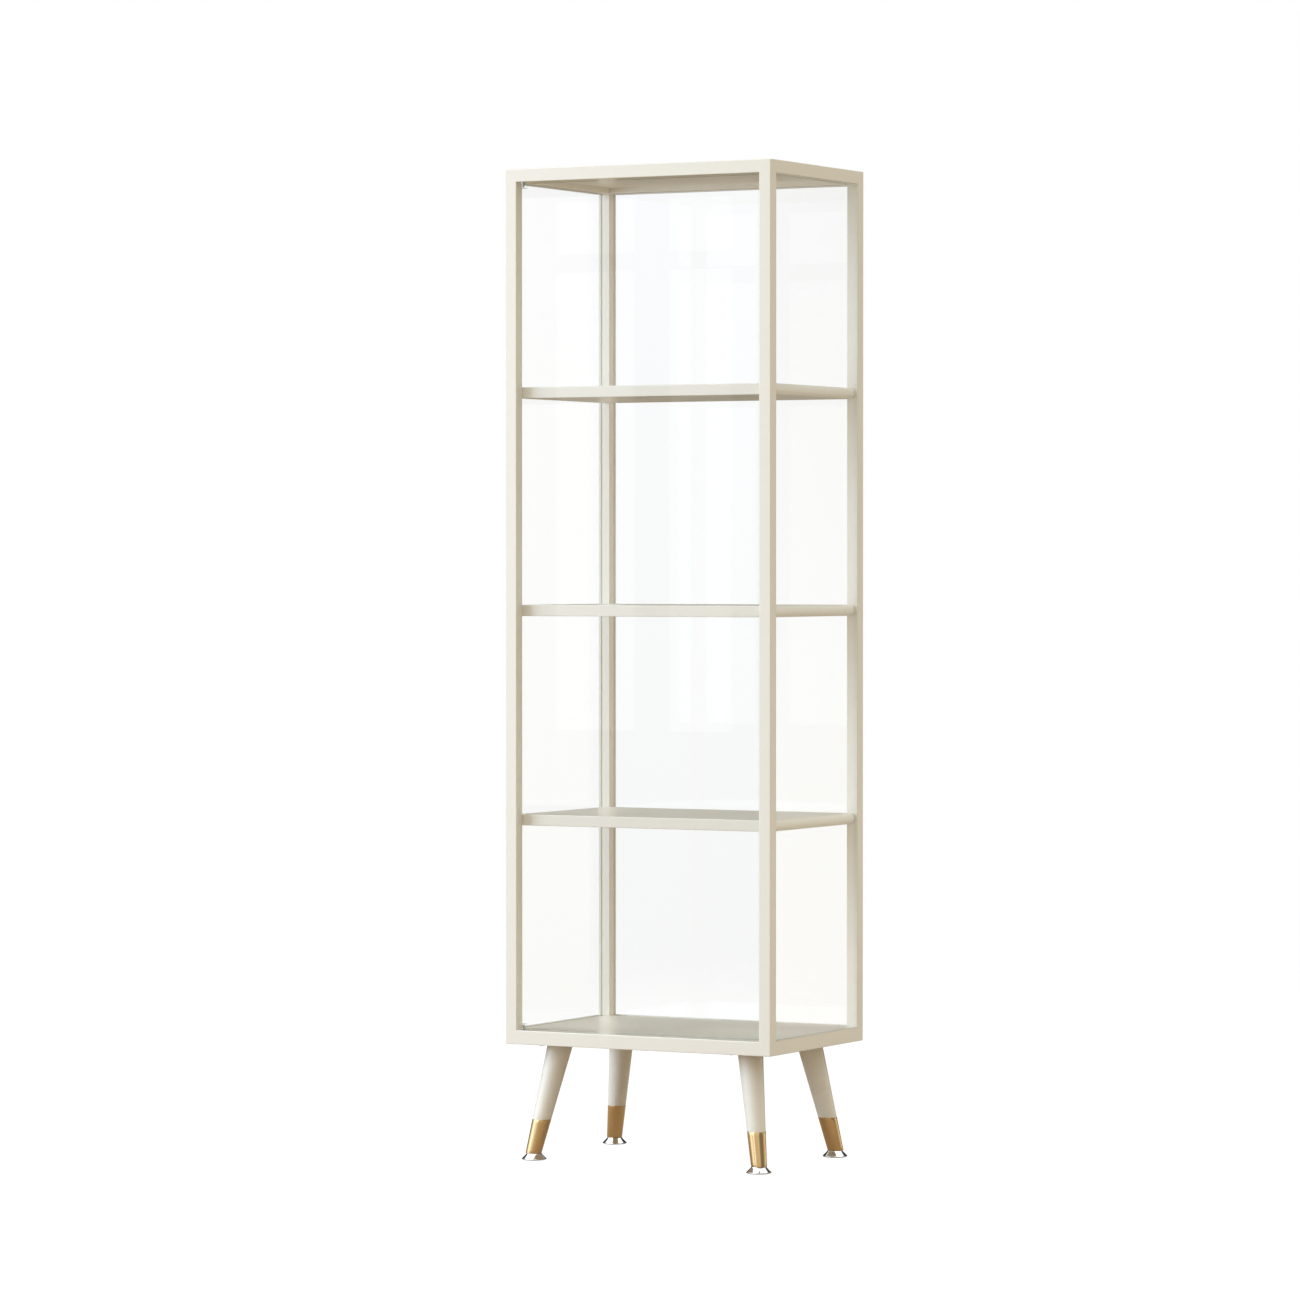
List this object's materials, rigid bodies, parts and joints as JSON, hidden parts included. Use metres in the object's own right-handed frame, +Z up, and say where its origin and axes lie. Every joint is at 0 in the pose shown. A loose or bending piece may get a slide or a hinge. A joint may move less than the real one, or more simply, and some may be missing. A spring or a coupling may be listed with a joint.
{
  "type": "tower display case",
  "caption": "Tall narrow display case: square frame on splayed round legs with brass ferrules, fixed shelves, glazed sides and a frameless glass door.",
  "frame": {"origin": "on the floor under the middle of the case", "axes": "+Z up, front (the door) towards -Y, +X to the right seen from the front"},
  "size_m": [0.48, 0.33, 1.598],
  "materials": {
    "lacquered_wood": "satin cream lacquer",
    "lacquered_board": "satin cream lacquer on board",
    "lacquered_leg": "satin cream lacquer",
    "glass": "clear toughened float glass, polished edges",
    "sealant": "cream silicone, matching the lacquer",
    "beech": "plain beech dowel",
    "brass": "polished",
    "steel": "fine turned",
    "zinc_steel": "zinc plated",
    "chrome": "mirror chrome",
    "clear_plastic": "clear polycarbonate, bonded to the glass",
    "cream_paint": "satin cream, matching the frame",
    "latch_plastic": "off-white moulded plastic"
  },
  "bodies": {
    "case": {"post_front_left": "lacquered_wood", "leg_front_left": "lacquered_leg", "ferrule_front_left": "brass", "leg_plate_front_left": "zinc_steel", "dowel_1_front_left": "beech", "dowel_2_front_left": "beech", "dowel_3_front_left": "beech", "post_front_right": "lacquered_wood", "leg_front_right": "lacquered_leg", "ferrule_front_right": "brass", "leg_plate_front_right": "zinc_steel", "dowel_1_front_right": "beech", "dowel_2_front_right": "beech", "dowel_3_front_right": "beech", "post_rear_left": "lacquered_wood", "leg_rear_left": "lacquered_leg", "ferrule_rear_left": "brass", "leg_plate_rear_left": "zinc_steel", "dowel_1_rear_left": "beech", "dowel_2_rear_left": "beech", "dowel_3_rear_left": "beech", "post_rear_right": "lacquered_wood", "leg_rear_right": "lacquered_leg", "ferrule_rear_right": "brass", "leg_plate_rear_right": "zinc_steel", "dowel_1_rear_right": "beech", "dowel_2_rear_right": "beech", "dowel_3_rear_right": "beech", "top_rail_front": "lacquered_wood", "top_rail_rear": "lacquered_wood", "top_rail_left": "lacquered_wood", "top_rail_right": "lacquered_wood", "top_panel": "lacquered_board", "base_board": "lacquered_board", "shelf_1": "lacquered_board", "shelf_2": "lacquered_board", "shelf_3": "lacquered_board", "glass_left": "glass", "seal_left": "sealant", "glass_right": "glass", "seal_right": "sealant", "glass_rear": "glass", "seal_rear": "sealant", "hinge_pin_lower": "steel", "hinge_pin_upper": "steel", "latch_spring": "steel", "latch_body": "latch_plastic"},
    "door": {"door_glass": "glass", "hinge_block_lower": "clear_plastic", "hinge_block_upper": "clear_plastic", "latch_strike": "cream_paint"},
    "latch_button": {"latch_plunger": "latch_plastic"},
    "pad_front_left": {"foot_pad_front_left": "chrome"},
    "stem_front_left": {"foot_stem_front_left": "steel"},
    "pad_front_right": {"foot_pad_front_right": "chrome"},
    "stem_front_right": {"foot_stem_front_right": "steel"},
    "pad_rear_left": {"foot_pad_rear_left": "chrome"},
    "stem_rear_left": {"foot_stem_rear_left": "steel"},
    "pad_rear_right": {"foot_pad_rear_right": "chrome"},
    "stem_rear_right": {"foot_stem_rear_right": "steel"}
  },
  "joints": [
    {"name": "door_hinge", "type": "hinge", "parent": "case", "child": "door", "pos_m": [-0.21, -0.16, 0.8938], "axis": [0, 0, -1], "range_deg": [0, 105]},
    {"name": "latch_press", "type": "slide", "parent": "case", "child": "latch_button", "axis": [0, -1, 0], "range_m": [-0.003, 0], "stiffness_N_per_m": 600, "deforming": ["latch_spring"]},
    {"name": "level_front_left", "type": "slide", "parent": "case", "child": "pad_front_left", "axis": [0, 0, -1], "range_m": [0, 0.012]},
    {"name": "screw_front_left", "type": "hinge", "parent": "pad_front_left", "child": "stem_front_left", "pos_m": [-0.2045, -0.1345, 0.0033], "axis": [0, 0, -1], "range_deg": [0, 4320]},
    {"name": "level_front_right", "type": "slide", "parent": "case", "child": "pad_front_right", "axis": [0, 0, -1], "range_m": [0, 0.012]},
    {"name": "screw_front_right", "type": "hinge", "parent": "pad_front_right", "child": "stem_front_right", "pos_m": [0.2045, -0.1345, 0.0033], "axis": [0, 0, -1], "range_deg": [0, 4320]},
    {"name": "level_rear_left", "type": "slide", "parent": "case", "child": "pad_rear_left", "axis": [0, 0, -1], "range_m": [0, 0.012]},
    {"name": "screw_rear_left", "type": "hinge", "parent": "pad_rear_left", "child": "stem_rear_left", "pos_m": [-0.2045, 0.1345, 0.0033], "axis": [0, 0, -1], "range_deg": [0, 4320]},
    {"name": "level_rear_right", "type": "slide", "parent": "case", "child": "pad_rear_right", "axis": [0, 0, -1], "range_m": [0, 0.012]},
    {"name": "screw_rear_right", "type": "hinge", "parent": "pad_rear_right", "child": "stem_rear_right", "pos_m": [0.2045, 0.1345, 0.0033], "axis": [0, 0, -1], "range_deg": [0, 4320]}
  ],
  "couplings": [
    {"joint": "screw_front_left", "follows": "level_front_left", "rad_per_m": 6283},
    {"joint": "screw_front_right", "follows": "level_front_right", "rad_per_m": 6283},
    {"joint": "screw_rear_left", "follows": "level_rear_left", "rad_per_m": 6283},
    {"joint": "screw_rear_right", "follows": "level_rear_right", "rad_per_m": 6283}
  ]
}
